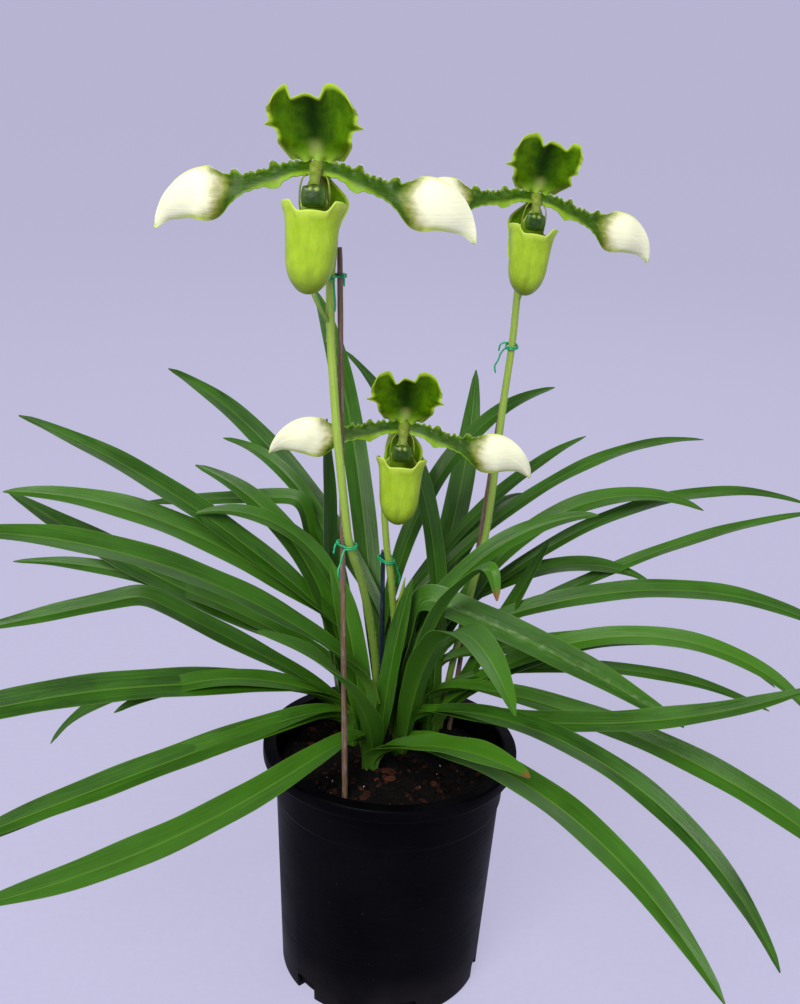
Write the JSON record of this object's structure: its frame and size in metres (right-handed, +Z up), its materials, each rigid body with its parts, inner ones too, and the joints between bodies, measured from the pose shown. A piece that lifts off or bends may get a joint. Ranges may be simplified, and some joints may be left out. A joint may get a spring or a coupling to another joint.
{
  "type": "potted slipper orchid",
  "caption": "Slipper orchid with arching strap leaves and green and white pouched blooms on tied stems, in a round dark nursery pot.",
  "frame": {"origin": "centre of the pot's flat bottom, on the surface it stands on", "axes": "+Z up along the pot's axis, -Y towards the side that the blooms face, +X to the right seen from there"},
  "size_m": [0.4755, 0.3913, 0.4482],
  "materials": {
    "pot": "near-black injection-moulded plastic, satin",
    "potting_mix": "dark bark mix with lighter chips",
    "leaf": "leathery green strap leaves, satin, paler at the edges",
    "flower_stem": "yellow-green stems with fine hairs",
    "brown_stake": "reddish brown stained split cane",
    "dark_stake": "dark blue-green dyed stake",
    "tie": "blue-green plastic-coated wire",
    "petal": "white blades with green veins and yellow-green arms",
    "pouch": "waxy yellow-green",
    "column": "glossy green shield with two pale spots",
    "sepal": "dark green with a yellow-green wavy margin"
  },
  "bodies": {
    "root": {"column_1": "column", "column_2": "column", "column_3": "column", "dorsal_sepal_1": "sepal", "dorsal_sepal_2": "sepal", "dorsal_sepal_3": "sepal", "growth_back": "leaf", "growth_back_left": "leaf", "growth_back_right": "leaf", "growth_front": "leaf", "growth_left": "leaf", "growth_middle": "leaf", "growth_right": "leaf", "petal_left_1": "petal", "petal_left_2": "petal", "petal_left_3": "petal", "petal_right_1": "petal", "petal_right_2": "petal", "petal_right_3": "petal", "pot": "pot", "potting_mix": "potting_mix", "pouch_1": "pouch", "pouch_2": "pouch", "pouch_3": "pouch", "scape_1": "flower_stem", "scape_2": "flower_stem", "scape_3": "flower_stem", "stake_1": "brown_stake", "stake_2": "brown_stake", "stake_3": "dark_stake", "synsepal_1": "sepal", "synsepal_2": "sepal", "synsepal_3": "sepal", "tie_1_lower": "tie", "tie_1_upper": "tie", "tie_2": "tie", "tie_3": "tie"}
  },
  "joints": []
}
